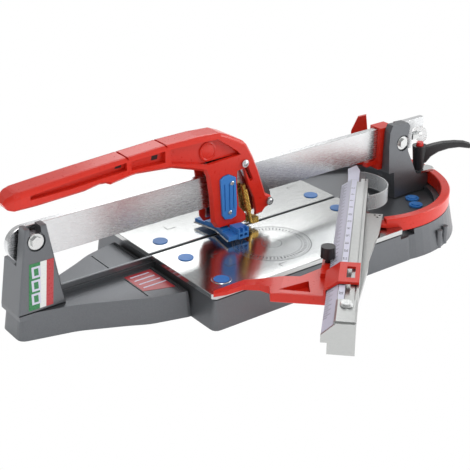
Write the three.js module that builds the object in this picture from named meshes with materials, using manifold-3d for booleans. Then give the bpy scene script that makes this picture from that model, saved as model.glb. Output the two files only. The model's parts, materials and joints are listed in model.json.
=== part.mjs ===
// Push-type manual tile cutter: a ribbed base casting, two towers that hold a flat steel rail, a roller
// carriage with a lever handle, scoring wheel and breaking foot, two sprung tables, and a swivelling
// measuring fence that a clamp lever holds. Millimetres, +X along the rail towards the swivel, +Z up,
// z = 0 the bench. The origin lies on the bench under the middle of the rail.
import * as THREE from "three";
import { mergeVertices } from "three/addons/utils/BufferGeometryUtils.js";
import Module from "manifold-3d";

const wasm = await Module();
wasm.setup();

// ---------------------------------------------------------------- driving dimensions
const FIT = 0.3; // air between two touching pieces
const RUN = 0.6; // air between a moving piece and what it runs past

const RAIL_HALF = 300; // half the rail's length between its towers' outer faces
const RAIL_THICK = 8;
const RAIL_HEIGHT = 40.6;
const RAIL_FOOT = 83.6; // underside of the rail above the bench
const RAIL_TOP = RAIL_FOOT + RAIL_HEIGHT;
const RAIL_END = 305; // end of the stepped tongue beyond the far tower
const TONGUE_HEIGHT = 13; // height of the stepped far end

const FLARE_TOP = 30; // top of the near flare and of the round lobe
const RIM_TOP = 35; // rim round the tables
const FLOOR_TOP = 27; // floor of the recess below the tables
const FLOOR_THICK = 6;
const BASE_LEAN = 5; // how far the casting's walls lean in
const BASE_WALL = 6;
const BASE_WEB = 16; // width of the web along the middle
const BAYS = 5; // hollow bays along each side, underneath
const BASE_CORNER = 9; // how far the rounding of the base's upright corners reaches

const TABLE_NEAR = -134;
const TABLE_FAR = 154;
const TABLE_OUTER = 127.4; // outer edge, measured from the scoring line
const BASE_HALF = TABLE_OUTER + 2.1; // half width of the base at the bench
const TABLE_INNER = 3; // inner edge, measured from the scoring line
const TABLE_LOW = 38;
const TABLE_TOP = 44;
const PLUG_R = 9;
const BUFFER_R = 7;

const BREAKER_THICK = 2.2;
const BREAKER_TOP = 42.3;

const TOWER_HALF = 22; // half width of a tower
const FORK_HALF = 8; // how far the rail's recess reaches towards a tower's cheek
const TOWER_TOP = 128;
const TOWER_SPREAD = 8; // how far the far tower's front leans out at its foot
const RAIL_BOLT_R = 4;
const RAIL_BOLT_HEAD_R = 9;
const NEAR_BOLT = [-RAIL_HALF + 14, 111.7]; // X and Z of the bolts that hold the rail
const FAR_BOLT = [249, 103.4];

const SWIVEL_X = 188; // swivel centre, on the scoring line
const LOBE_R = 131;
const ARC_START = 20.6; // angle of the arc's free end from the fence, in degrees
const ARC_INNER = 111.5;
const ARC_OUTER = 123;
const ARC_LOW = 37;
const ARC_TOP = 55;
const FENCE_ANGLE = -135; // fence direction at rest, degrees from +X
const FENCE_START = 34;
const FENCE_END = 418;
const FENCE_FOOT = 45.2;
const FENCE_HIGH = 75;
const END_CAP_LENGTH = 45;
const END_BOLT = [FENCE_END - 33, 6.3]; // along and across the fence
const STOP_START = 284; // inner end of the sliding stop's saddle, along the fence
const STOP_LENGTH = 46;

const CLAMP_X = 284;
const CLAMP_Y = -20;
const STUD_R = 4;
const CLAMP_TOP = 92;
const LEVER_ANGLE = -37;
const LEVER_LENGTH = 67;

const HEAD_HALF = 16; // half width of the carriage head
const CHEEK = 4.8; // thickness of each cheek of the head
const SLOT_HALF = HEAD_HALF - CHEEK;
const PLATE_INNER = RAIL_THICK / 2 + RUN;
const PLATE_OUTER = 7.4;
const HIGH_ROLLER_R = 6.3; // rollers above the rail
const LOW_ROLLER_R = 7.8; // rollers below the rail
const ROLL_GAP = 0.15;
const PIN_R = 2.5;
const HIGH_Z = RAIL_TOP + ROLL_GAP + HIGH_ROLLER_R;
const LOW_Z = RAIL_FOOT - ROLL_GAP - LOW_ROLLER_R;
const PIVOT_X = 29; // handle pivot, which is also the far lower roller's pin
const POCKET_DEPTH = 6; // hollows in the handle's sides
const SHOULDER = 6; // rounding along the top of the handle

const WHEEL_X = 8;
const WHEEL_Z = 53.4;
const WHEEL_R = 7;

// ---------------------------------------------------------------- materials
function finish(colour, roughness, metalness) {
  return new THREE.MeshStandardMaterial({ color: colour, roughness, metalness });
}

const GREY_PAINT = finish("#5b5d62", 0.5, 0.6);
const RED_PAINT = finish("#b3141c", 0.3, 0.0);
const CHROME = finish("#d8dadd", 0.12, 1.0);
const ALUMINIUM = finish("#c3c6ca", 0.35, 1.0);
const ZINC = finish("#b9bbbd", 0.3, 1.0);
const BRASS = finish("#c79a43", 0.3, 1.0);
const BLUE_PLASTIC = finish("#1d63b5", 0.4, 0.0);
const BLACK_PLASTIC = finish("#17181a", 0.5, 0.0);
const RED_PLASTIC = finish("#c31a20", 0.35, 0.0);
const WHITE_PLASTIC = finish("#dfe0e6", 0.45, 0.0);
const CLEAR_PLASTIC = finish("#dfe8ee", 0.1, 0.0);
const BLACK_RUBBER = finish("#1a1a1a", 0.9, 0.0);

// ---------------------------------------------------------------- solids
function solid(geometry) {
  const flat = geometry.index ? geometry.toNonIndexed() : geometry;
  const bare = new THREE.BufferGeometry();
  bare.setAttribute("position", flat.getAttribute("position"));
  const merged = mergeVertices(bare, 1e-3);
  return new wasm.Manifold(
    new wasm.Mesh({
      numProp: 3,
      vertProperties: merged.attributes.position.array,
      triVerts: new Uint32Array(merged.index.array),
    }),
  );
}

function join(...solids) {
  return solids.reduce((sum, next) => sum.add(next));
}

function cut(body, ...tools) {
  return tools.reduce((left, tool) => left.subtract(tool), body);
}

function outline(points) {
  return new THREE.Shape(points.map(([a, b]) => new THREE.Vector2(a, b)));
}

function box(x0, x1, y0, y1, z0, z1) {
  const g = new THREE.BoxGeometry(x1 - x0, y1 - y0, z1 - z0);
  return solid(g.translate((x0 + x1) / 2, (y0 + y1) / 2, (z0 + z1) / 2));
}

function extrusion(shape, length, edge, curve) {
  return new THREE.ExtrudeGeometry(shape, {
    depth: length - 2 * edge,
    bevelEnabled: edge > 0,
    bevelSize: edge,
    bevelThickness: edge,
    bevelOffset: -edge,
    bevelSegments: 1,
    curveSegments: curve,
  }).translate(0, 0, edge);
}

// An outline in X and Y drawn up from z0 to z1, its two ends eased by edge.
function prismZ(points, z0, z1, edge = 0) {
  const shape = points instanceof THREE.Shape ? points : outline(points);
  return solid(extrusion(shape, z1 - z0, edge, 12).translate(0, 0, z0));
}

// An outline in X and Z drawn along Y from y0 to y1, its two ends eased by edge.
function prismY(points, y0, y1, edge = 0) {
  const shape = points instanceof THREE.Shape ? points : outline(points);
  return solid(extrusion(shape, y1 - y0, edge, 12).rotateX(Math.PI / 2).translate(0, y1, 0));
}

// An outline in Y and Z drawn along X from x0 to x1.
function prismX(points, x0, x1) {
  const g = extrusion(outline(points), x1 - x0, 0, 12);
  return solid(g.rotateX(Math.PI / 2).rotateZ(Math.PI / 2).translate(x0, 0, 0));
}

// An outline in X and Y standing from z = 0 to height, its walls leaning in by lean.
function leaning(points, height, lean) {
  const shape = points instanceof THREE.Shape ? points : outline(points);
  const g = new THREE.ExtrudeGeometry(shape, {
    depth: 1,
    bevelEnabled: true,
    bevelSize: lean,
    bevelThickness: height,
    bevelOffset: -lean,
    bevelSegments: 1,
    curveSegments: 24,
  });
  return cut(solid(g.translate(0, 0, -1)), box(-900, 900, -900, 900, -900, 0));
}

function rodZ(x, y, r, z0, z1, sides = 20, topR = r) {
  const g = new THREE.CylinderGeometry(topR, r, z1 - z0, sides).rotateX(Math.PI / 2);
  return solid(g.translate(x, y, (z0 + z1) / 2));
}

function rodY(x, z, r, y0, y1, sides = 18) {
  return solid(new THREE.CylinderGeometry(r, r, y1 - y0, sides).translate(x, (y0 + y1) / 2, z));
}

function rodX(y, z, r, x0, x1, sides = 18) {
  const g = new THREE.CylinderGeometry(r, r, x1 - x0, sides).rotateZ(-Math.PI / 2);
  return solid(g.translate((x0 + x1) / 2, y, z));
}

// A ring sector about the origin between two angles in degrees.
function sector(inner, outer, from, to, z0, z1, edge = 0) {
  const a = THREE.MathUtils.degToRad(from);
  const b = THREE.MathUtils.degToRad(to);
  const shape = new THREE.Shape();
  shape.absarc(0, 0, outer, a, b, false);
  shape.absarc(0, 0, inner, b, a, true);
  const g = extrusion(shape, z1 - z0, edge, Math.max(8, Math.round((to - from) / 5)));
  return solid(g.translate(0, 0, z0));
}

function mesh(name, body, material) {
  const made = body.getMesh();
  const g = new THREE.BufferGeometry();
  g.setAttribute("position", new THREE.BufferAttribute(new Float32Array(made.vertProperties), 3));
  g.setIndex(new THREE.BufferAttribute(new Uint32Array(made.triVerts), 1));
  const m = new THREE.Mesh(g.toNonIndexed(), material);
  m.geometry.computeVertexNormals();
  m.name = name;
  return m;
}

// ---------------------------------------------------------------- base and towers
// An outline whose corners are rounded from a distance of reach on both sides.
function eased(points, reach, steps = 4) {
  const towards = (p, q) => {
    const share = reach / Math.hypot(q[0] - p[0], q[1] - p[1]);
    return [p[0] + (q[0] - p[0]) * share, p[1] + (q[1] - p[1]) * share];
  };
  return points.flatMap((corner, i) => {
    const from = towards(corner, points[(i + points.length - 1) % points.length]);
    const to = towards(corner, points[(i + 1) % points.length]);
    return Array.from({ length: steps + 1 }, (_, k) => {
      const t = k / steps;
      return [0, 1].map((j) => (1 - t) ** 2 * from[j] + 2 * t * (1 - t) * corner[j] + t * t * to[j]);
    });
  });
}

function mirrored(points) {
  return points.concat(points.slice().reverse().map(([x, y]) => [x, -y]));
}

function baseCasting() {
  const near = -RAIL_HALF - 15;
  const flare = mirrored([[near, -22], [near + 62.5, -37.3], [-201, -61.4], [-182, -72], [-130, -86]]);
  const middle = mirrored([[TABLE_NEAR - 1, -BASE_HALF], [170, -BASE_HALF]]);
  const lobe = rodZ(SWIVEL_X, 0, LOBE_R, 0, ARC_LOW - FIT, 64, LOBE_R - 8);
  let body = join(
    leaning(eased(flare, BASE_CORNER), FLARE_TOP, BASE_LEAN),
    leaning(eased(middle, BASE_CORNER), RIM_TOP, BASE_LEAN),
    lobe,
  );
  body = cut(body, tableRecess(), lobeFloor(), ...undersideBays(), ...flareGrooves());
  return join(body, breakerWall(), towerPad(-1), towerPad(1), ...bufferSeats(), ...lobeRibs());
}

function tableRecess() {
  const near = TABLE_NEAR + 8;
  const far = TABLE_FAR + RUN;
  const half = TABLE_OUTER - 10;
  return join(
    box(near, far, -half, half, FLOOR_TOP, RIM_TOP + 5),
    box(150, 175, -BASE_HALF - 5, BASE_HALF + 5, FLARE_TOP, RIM_TOP + 5),
  );
}

// The lobe's sunk floor inside the rim that the arc runs on.
function lobeFloor() {
  return join(
    rodZ(SWIVEL_X, 0, 104, FLARE_TOP, ARC_LOW + 1, 48),
    box(270, 300, -32, 32, FLARE_TOP, ARC_LOW + 1),
  );
}

// Hollow bays underneath, which leave the walls, the cross ribs and the web along the middle.
function undersideBays() {
  const tools = [];
  const near = TABLE_NEAR + BASE_WALL;
  const pitch = (SWIVEL_X - 10 - near) / BAYS;
  for (let i = 0; i < BAYS; i++) {
    const x0 = near + i * pitch;
    const x1 = x0 + pitch - BASE_WALL;
    for (const side of [-1, 1]) {
      const ys = [side * (BASE_WEB / 2), side * (BASE_HALF - BASE_WALL - BASE_LEAN)].sort((a, b) => a - b);
      tools.push(box(x0, x1, ys[0], ys[1], -1, FLOOR_TOP - FLOOR_THICK));
    }
  }
  const round = cut(
    rodZ(SWIVEL_X, 0, LOBE_R - BASE_WALL - 7, -1, FLARE_TOP - FLOOR_THICK, 40),
    box(0, SWIVEL_X + 4, -200, 200, -5, FLARE_TOP),
    box(SWIVEL_X, 400, -BASE_WEB / 2, BASE_WEB / 2, -5, FLARE_TOP),
    box(CLAMP_X - 3, CLAMP_X + 3, -200, 200, -5, FLARE_TOP),
    box(SWIVEL_X + 45, SWIVEL_X + 51, -200, 200, -5, FLARE_TOP),
    rodZ(SWIVEL_X, 0, 24, -5, FLARE_TOP),
  );
  tools.push(round);
  for (const side of [-1, 1]) {
    const points = [[-290, 9], [-250, 26], [-200, 48], [-146, 72], [-146, 9]].map(([x, y]) => [x, side * y]);
    tools.push(prismZ(side > 0 ? points.reverse() : points, -1, FLARE_TOP - FLOOR_THICK));
  }
  return tools;
}

// Shallow decorative grooves across the top of the near flare.
function flareGrooves() {
  const tools = [];
  for (const side of [-1, 1]) {
    const ys = [side * 13, side * 62].sort((a, b) => a - b);
    tools.push(box(-178, -176.4, ys[0], ys[1], FLARE_TOP - 1, FLARE_TOP + 1));
    const edge = [side * 6, side * 74].sort((a, b) => a - b);
    tools.push(box(-139.6, -138, edge[0], edge[1], FLARE_TOP - 1, FLARE_TOP + 1));
  }
  return tools;
}

// The thin wall along the scoring line that the breaker bar stands on.
function breakerWall() {
  const near = box(-RAIL_HALF + 44.2, TABLE_NEAR + 10, -3.6, 3.6, FLARE_TOP - 2, FLARE_TOP + 5);
  const far = box(TABLE_NEAR + 5, TABLE_FAR + 8, -2.2, 2.2, FLOOR_TOP - 2, FLARE_TOP + 5);
  return join(near, far);
}

function towerPad(end) {
  const x0 = end < 0 ? -RAIL_HALF - 13 : 240;
  const x1 = end < 0 ? -RAIL_HALF + 48 : 298;
  return box(x0, x1, -TOWER_HALF, TOWER_HALF, FLARE_TOP - 6, FLARE_TOP);
}

function bufferSeats() {
  return bufferPlaces().map(([x, y]) => rodZ(x, y, BUFFER_R + 2, FLOOR_TOP - 1, FLOOR_TOP + 1.5, 20));
}

function bufferPlaces() {
  return [[-70, -66], [95, -66], [-70, 66], [95, 66]];
}

// Small upright ribs on the lobe's wall, which reach the bench.
function lobeRibs() {
  return [-76, -69, 69, 76].map((angle) => {
    const a = THREE.MathUtils.degToRad(angle);
    const r = LOBE_R - 2.6;
    return rodZ(SWIVEL_X + r * Math.cos(a), r * Math.sin(a), 4, 0, FLARE_TOP - 6, 16);
  });
}

function breakerBar() {
  const half = BREAKER_THICK / 2;
  const low = FLARE_TOP + 5 + FIT;
  return prismX(
    [[-half, low], [half, low], [half, BREAKER_TOP - 1], [0.4, BREAKER_TOP], [-0.4, BREAKER_TOP], [-half, BREAKER_TOP - 1]],
    -RAIL_HALF + 45,
    TABLE_FAR + 6,
  );
}

// The rail lies against one upright cheek, on the -Y side, and on the ledge behind it.
function railSeat(body, x, z) {
  const seat = box(x - 60, x + 80, -FORK_HALF, 40, RAIL_FOOT - FIT, 150);
  const boss = rodY(x, z, 6.3, -FORK_HALF - 2, -RAIL_THICK / 2 - FIT);
  return cut(
    join(cut(body, seat), boss),
    rodY(x, z, RAIL_BOLT_R + FIT, -40, 40),
    rodY(x, z, RAIL_BOLT_HEAD_R + 2, -40, -TOWER_HALF + 3),
  );
}

function nearTower() {
  const x = NEAR_BOLT[0];
  const side = [
    [x - 27.6, FLARE_TOP + FIT], [x + 29.5, FLARE_TOP + FIT], [x + 27, 44], [x + 13.5, TOWER_TOP],
    [x - 11.5, TOWER_TOP],
  ];
  const body = cut(
    prismY(side, -TOWER_HALF, TOWER_HALF, 1.5),
    box(x - 6.5, x + 6.5, -30, 30, TOWER_TOP - 9, 140),
  );
  return railSeat(body, ...NEAR_BOLT);
}

function farTower() {
  const side = [
    [227, FLARE_TOP + FIT], [298, FLARE_TOP + FIT], [294.5, 52], [273.5, 56], [265, 76],
    [259, 90], [257.5, 99], [259, 112], [261, 125], [257, 130], [229, 131.5], [225, 122], [223.5, 64],
  ];
  const foot = -TOWER_HALF - TOWER_SPREAD;
  const ends = [[foot, 20], [TOWER_HALF, 20], [TOWER_HALF, 150], [-TOWER_HALF, 150], [-TOWER_HALF, FAR_BOLT[1]], [foot, FLARE_TOP]];
  const body = cut(
    prismY(side, foot, TOWER_HALF, 1.5).intersect(prismX(orient(ends), 200, 320)),
    box(200, 243, -11.3, 40, 68.7, 150),
    rodZ(SWIVEL_X, -30, 44.5, FLARE_TOP - 2, 66.8, 60),
    cut(rodZ(SWIVEL_X, 0, 130, 36, 56, 60), rodZ(SWIVEL_X, 0, ARC_INNER - RUN, 35, 57, 60)),
    rodZ(CLAMP_X, CLAMP_Y, STUD_R + FIT, FLARE_TOP + 4, 90),
  );
  return railSeat(body, ...FAR_BOLT);
}

function rail() {
  const low = RAIL_TOP - TONGUE_HEIGHT;
  const shape = new THREE.Shape();
  shape.moveTo(285, RAIL_FOOT);
  shape.lineTo(285, low - 2);
  shape.lineTo(287, low);
  shape.lineTo(RAIL_END, low);
  shape.lineTo(RAIL_END, RAIL_TOP);
  shape.absarc(-RAIL_HALF + 9, RAIL_TOP - RAIL_HEIGHT / 2, RAIL_HEIGHT / 2, Math.PI / 2, Math.PI * 1.5, false);
  const body = prismY(shape, -RAIL_THICK / 2, RAIL_THICK / 2, 0.5);
  return cut(
    body,
    rodY(...NEAR_BOLT, RAIL_BOLT_R + FIT, -9, 9),
    rodY(...FAR_BOLT, RAIL_BOLT_R + FIT, -9, 9),
  );
}

function railBolt(x, z) {
  const head = -TOWER_HALF + 3 - FIT;
  const nut = RAIL_THICK / 2 + FIT;
  return join(
    rodY(x, z, RAIL_BOLT_R, head, nut + 7),
    rodY(x, z, RAIL_BOLT_HEAD_R, head - 2, head),
    rodY(x, z, 6.5, head - 5, head, 6),
    rodY(x, z, 6.5, nut, nut + 4.5, 6),
  );
}

// A hexagonal neck under the rail's stepped end, and the domed knob on it.
const ADJUSTER_R = 12;
const ADJUSTER_Z = RAIL_TOP - TONGUE_HEIGHT - FIT - ADJUSTER_R - 0.4;

function railAdjuster() {
  return join(rodX(0, ADJUSTER_Z, 6, 285.6, 297, 6), rodX(0, ADJUSTER_Z, 3.5, 296, RAIL_END - 1));
}

function adjusterKnob() {
  const dome = new THREE.LatheGeometry(
    [[0, -6.5], [6, -5.8], [9.8, -3.6], [ADJUSTER_R, 0], [9.8, 3.6], [6, 5.8], [0, 6.5]].map(([r, h]) => new THREE.Vector2(r, h)),
    28,
  );
  const head = solid(dome.rotateZ(-Math.PI / 2).translate(RAIL_END, 0, ADJUSTER_Z));
  return cut(head, rodX(0, ADJUSTER_Z, 3.5 + FIT, 290, RAIL_END - 1 + FIT));
}

function railBumper() {
  const body = join(
    box(219, 242.4, -9.8, 9.8, 69, RAIL_TOP + 2),
    box(203, 220, -3.5, 3.5, 74, 80),
  );
  return cut(body, box(215, 250, -RAIL_THICK / 2 - FIT, RAIL_THICK / 2 + FIT, RAIL_FOOT - FIT, RAIL_TOP + FIT));
}

function lobePlug(x, y) {
  return join(rodZ(x, y, PLUG_R, FLARE_TOP + FIT, FLARE_TOP + 2.2, 20), rodZ(x, y, 6, FLARE_TOP + 2, FLARE_TOP + 3.4, 20));
}

function swivelPost() {
  return join(
    rodZ(SWIVEL_X, 0, 11, FLARE_TOP + FIT, FENCE_FOOT, 20),
    rodZ(SWIVEL_X, 0, 6, FENCE_FOOT - 1, 51, 20),
    rodZ(SWIVEL_X, 0, 9.5, 50.6, 53, 20),
    rodZ(SWIVEL_X, 0, 6, 53, 57, 6),
  );
}

// ---------------------------------------------------------------- tables
function table(side) {
  const ys = [side * TABLE_INNER, side * TABLE_OUTER].sort((a, b) => a - b);
  const corner = 6;
  const points = [
    [TABLE_NEAR, ys[0]], [TABLE_FAR, ys[0]], [TABLE_FAR, ys[1]], [TABLE_NEAR, ys[1]],
  ];
  let body = prismZ(points, TABLE_LOW, TABLE_TOP, 0.5);
  const far = side * TABLE_OUTER;
  for (const x of [TABLE_NEAR, TABLE_FAR]) {
    const inwards = x < 0 ? 1 : -1;
    const chip = [[x - inwards, far + side], [x + inwards * corner, far + side], [x - inwards, far - side * corner]];
    const turned = inwards * side > 0 ? chip.reverse() : chip;
    body = cut(body, prismZ(turned, TABLE_LOW - 1, TABLE_TOP + 1));
  }
  if (side < 0) {
    const slot = sector(ARC_INNER - RUN, ARC_OUTER + RUN, FENCE_ANGLE + ARC_START - 1.6, FENCE_ANGLE + ARC_START + 20, 30, 60);
    body = cut(body, slot.translate([SWIVEL_X, 0, 0]));
  }
  for (const [x, y] of plugPlaces(side)) {
    body = cut(body, rodZ(x, y, PLUG_R + FIT, 41, 50, 20), rodZ(x, y, 4 + FIT, 30, 50, 20));
  }
  return body;
}

function plugPlaces(side) {
  return side < 0
    ? [[-105.5, -32], [-104.6, -TABLE_OUTER + 26.6], [130, -29.5]]
    : [[-105, 22.8], [130, 22.5]];
}

function tablePlug([x, y]) {
  return join(rodZ(x, y, PLUG_R, 41 + FIT, TABLE_TOP + 0.9, 20), rodZ(x, y, 4, FLOOR_TOP + 4, 42, 20));
}

function buffer([x, y]) {
  return rodZ(x, y, BUFFER_R, FLOOR_TOP + 1.5 + FIT, TABLE_LOW - 0.1, 18);
}

// ---------------------------------------------------------------- carriage
function carriagePlate(side) {
  const points = [[-50, 67], [-24, 66], [24, 66], [37, 68], [38, 82], [5, 138], [-50, 138]];
  const ys = [side * PLATE_INNER, side * PLATE_OUTER].sort((a, b) => a - b);
  const holes = pinPlaces().map(([x, z]) => rodY(x, z, PIN_R + 0.05, -20, 20));
  return cut(prismY(points, ys[0], ys[1]), ...holes);
}

function pinPlaces() {
  return [[-42, HIGH_Z], [-5.8, HIGH_Z], [-30, LOW_Z], [PIVOT_X, LOW_Z]];
}

function shortPin([x, z]) {
  return join(
    rodY(x, z, PIN_R, -PLATE_OUTER - 1.6, PLATE_OUTER + 1.6),
    rodY(x, z, PIN_R + 1.6, -PLATE_OUTER - 1.8, -PLATE_OUTER - FIT),
    rodY(x, z, PIN_R + 1.6, PLATE_OUTER + FIT, PLATE_OUTER + 1.8),
  );
}

function pivotPin() {
  return join(
    rodY(PIVOT_X, LOW_Z, PIN_R, -HEAD_HALF - 1.5, HEAD_HALF + 1.5),
    rodY(PIVOT_X, LOW_Z, 5, -HEAD_HALF - 2.6, -HEAD_HALF - FIT),
    rodY(PIVOT_X, LOW_Z, 5, HEAD_HALF + FIT, HEAD_HALF + 2.6),
  );
}

function roller([x, z], r) {
  const half = PLATE_INNER - 0.4;
  return cut(rodY(x, z, r, -half, half, 24), rodY(x, z, PIN_R + 0.05, -10, 10));
}

// ---------------------------------------------------------------- handle
function handleCasting() {
  const profile = [
    [-313, 156], [-309, 162], [-300, 166.5], [-266, 169.4], [-221, 172.5], [-159, 176], [-115, 178.5],
    [-72, 179], [-42, 177.5], [-30, 172.5], [-8, 160.5], [-3.5, 155], [5.6, 138], [14, 119], [17.5, 108],
    [25, 86.2], [33.5, 81], [36, 75], [33, 69], [24.7, 66], [21, 61.5], [6, 60.2],
    [-12, 55.5], [-29.5, 48.2], [-44, 51.5], [-55, 68], [-57, 98], [-61.3, 127.9], [-65.5, 135.5],
    [-82.5, 141.5], [-109.5, 150], [-155.8, 154], [-161.8, 153.6], [-188.9, 149.6], [-194.8, 152.4],
    [-202.4, 153], [-221.4, 149.8], [-278, 147.4], [-303, 147.6], [-310, 150],
  ];
  const body = prismY(profile.reverse(), -HEAD_HALF, HEAD_HALF, 3).intersect(shoulders());
  const pockets = [
    [[-285, 161.5], [-286, 156.5], [-237, 157.5], [-201, 160], [-169, 162], [-169, 171], [-202, 168.5], [-238, 166]],
    [[-163, 171], [-163.5, 160.5], [-119, 159.5], [-119, 173]],
    [[-112, 173], [-111, 156], [-60, 143], [-14, 145.5], [-20, 152], [-47, 171.5]],
  ];
  const tools = [];
  for (const pocket of pockets) {
    for (const side of [-1, 1]) {
      const ys = [side * (HEAD_HALF - POCKET_DEPTH), side * (HEAD_HALF + 3)].sort((a, b) => a - b);
      tools.push(prismY(orient(pocket), ys[0], ys[1]));
    }
  }
  for (const [x, z] of [[-166.5, 173], [-116, 176]]) {
    tools.push(box(x - 1.2, x + 1.2, -30, 30, z, 200));
  }
  return cut(body, ...tools, ...headOpenings());
}

// The envelope that rounds the handle's top edges over, from its tip to the pivot.
function shoulders() {
  const stations = [
    [-313.2, 157.5, 7], [-309, 162.6, 11.6], [-303, 165.6, 14.6], [-296, 167, HEAD_HALF], [-266, 169.4], [-221, 172.5],
    [-159, 176], [-115, 178.5], [-72, 179], [-42, 177.5], [-30, 172.5], [-8, 160.5], [-3.5, 155, HEAD_HALF, 4],
    [5.6, 138, HEAD_HALF, 3], [17.5, 108.4, HEAD_HALF, 3], [25, 86.6, HEAD_HALF, 2], [33.5, 81.4, HEAD_HALF, 2], [36.2, 76, HEAD_HALF, 2],
  ];
  const slices = stations.map(([x, top, half = HEAD_HALF, round = SHOULDER]) => {
    const flank = [[half, 20]];
    for (let i = 0; i <= 4; i++) {
      const a = (i / 4) * (Math.PI / 2);
      flank.push([half - round + round * Math.cos(a), top - round + round * Math.sin(a)]);
    }
    return flank.concat(flank.slice().reverse().map(([y, z]) => [-y, z])).map(([y, z]) => [x, y, z]);
  });
  return join(...slices.slice(1).map((slice, i) => wasm.Manifold.hull(slices[i].concat(slice))));
}

// Puts an outline's points in counter-clockwise order.
function orient(points) {
  return THREE.ShapeUtils.isClockWise(points.map(([a, b]) => new THREE.Vector2(a, b)))
    ? points.slice().reverse()
    : points;
}

function headOpenings() {
  const rodRecess = [[-19, 126], [-9, 127], [-2, 104], [6, 86], [10, 66], [9, 40], [-5, 40], [-7, 68], [-17, 80], [-20, 109]];
  const slot = [[-8.5, 127], [-3.2, 129], [4.5, 110], [0.5, 108]];
  return [
    box(-90, 60, -SLOT_HALF, SLOT_HALF, 30, 145),
    box(-70, -30.4, -30, 30, 30, 60),
    prismY(orient(rodRecess), -HEAD_HALF - 4, -SLOT_HALF + 1),
    prismY(orient(slot), -HEAD_HALF - 4, -SLOT_HALF + 1),
    prismY(orient(cartridgeOutline(FIT)), -HEAD_HALF - 4, -HEAD_HALF + 3.1),
    rodY(PIVOT_X, LOW_Z, PIN_R + 0.05, -30, 30),
    rodY(-8.5, 133.5, 2.5 + FIT, -30, 0),
  ];
}

function cartridgeOutline(grow) {
  const points = [[-32.4, 124.9], [-22.4, 119.3], [-20.6, 84], [-22, 69.5], [-29, 67.3], [-38.5, 69], [-42.4, 75], [-44.9, 120.4], [-40.8, 123.7]];
  const middle = [-32, 96];
  return points.map(([x, z]) => {
    const dx = x - middle[0];
    const dz = z - middle[1];
    const far = Math.hypot(dx, dz);
    return [x + (dx / far) * grow * 1.6, z + (dz / far) * grow * 1.6];
  });
}

function cartridge() {
  const body = prismY(orient(cartridgeOutline(0)), -HEAD_HALF - 2.2, -HEAD_HALF + 2.8, 0.6);
  const grooves = [-27.6, -33.4, -40.2].map((x) =>
    prismY(orient([[x, 114], [x + 1.6, 114], [x + 2.4, 80], [x + 0.8, 80]]), -HEAD_HALF - 4, -HEAD_HALF - 1.1),
  );
  return cut(body, ...grooves);
}

function headBolt() {
  return join(
    rodY(-8.5, 133.5, 2.5, -HEAD_HALF - 1, -SLOT_HALF - 0.4),
    rodY(-8.5, 133.5, 4.8, -HEAD_HALF - 2.4, -HEAD_HALF - FIT),
  );
}

// ---------------------------------------------------------------- scoring and breaking
function scoringArm() {
  const y = -12.6;
  const lean = Math.atan2(9, 38);
  const leaned = (r, z0, z1, sides) => {
    const g = new THREE.CylinderGeometry(r, r, z1 - z0, sides).rotateX(Math.PI / 2);
    g.translate(0, 0, (z0 + z1) / 2).rotateY(-lean).translate(-8, y, 103);
    return solid(g);
  };
  const fork = box(5, 15, -14, -4.6, 50, 57.5);
  const pin = rodY(WHEEL_X, WHEEL_Z, 1.6, -6, 3.4, 16);
  const cheek = prismY([[4, 50], [12, 50], [13.5, 57.4], [3.5, 57.4]], -4.8, -2.6);
  return join(leaned(3, -42, 2, 20), leaned(2.2, -52, -40, 18), fork, cheek, pin);
}

function scoringWheel() {
  const half = 1.5;
  const g = new THREE.LatheGeometry(
    [[1.7, -half], [5.4, -half], [WHEEL_R, 0], [5.4, half], [1.7, half], [1.7, -half]].map(([r, y]) => new THREE.Vector2(r, y)),
    40,
  );
  return solid(g.translate(WHEEL_X, 0, WHEEL_Z));
}

function breakingFoot() {
  const parts = [box(-38, -18, -8, 8, 53, 60)];
  const tools = [rodX(0, 56.6, 1.6 + 0.05, -60, 10, 16)];
  for (const side of [-1, 1]) {
    const wing = [[-46, 35], [-39, -1], [-31, -1], [-31, HEAD_HALF + 1], [-24, HEAD_HALF + 2], [-24, 35]];
    parts.push(prismZ(orient(wing.map(([x, y]) => [x, side * y])), 48.2, 56));
    const block = [[-32, HEAD_HALF + 2], [-17, HEAD_HALF + 4], [-17, 36], [-32, 36]];
    parts.push(prismZ(orient(block.map(([x, y]) => [x, side * y])), 47.6, 60.5));
    for (const [x0, x1, z0, z1] of [[-30, -25.5, 50, 53.5], [-23.5, -19, 50, 53.5], [-30, -25.5, 55.5, 62], [-23.5, -19, 55.5, 62]]) {
      const ys = [side * 31, side * 40].sort((a, b) => a - b);
      tools.push(box(x0, x1, ys[0], ys[1], z0, z1));
    }
    const fall = [[-33, HEAD_HALF + 2], [-50, HEAD_HALF + 2], [-50, 40], [-33, 40]];
    tools.push(prismZ(orient(fall.map(([x, y]) => [x, side * y])), 54, 62));
  }
  return cut(join(...parts), ...tools);
}

function footStrip(side) {
  const points = [[-46.5, 34.5], [-39.6, 0.5], [-41, 0.5], [-47.9, 34.5]].map(([x, y]) => [x, side * y]);
  return prismZ(orient(points), 48.4, 50.6);
}

function footBracket() {
  return join(rodX(0, 56.6, 1.6, -39, -15, 20), box(-17.4, -14, -SLOT_HALF + FIT, SLOT_HALF - FIT, 53, 61));
}

// ---------------------------------------------------------------- measuring fence, in the swivel's own frame
function swivelArc() {
  const ring = sector(ARC_INNER, ARC_OUTER, ARC_START, 183, ARC_LOW, ARC_TOP, 1);
  const lug = box(103, 119, 17.4, 44, 46, 49.7);
  const fin = prismX([[-15, 40], [12, 40], [10.5, 86], [7.5, 110], [-4, 106.5], [-12.5, 86]], -121, -115.5);
  return join(ring, lug, fin);
}

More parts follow.
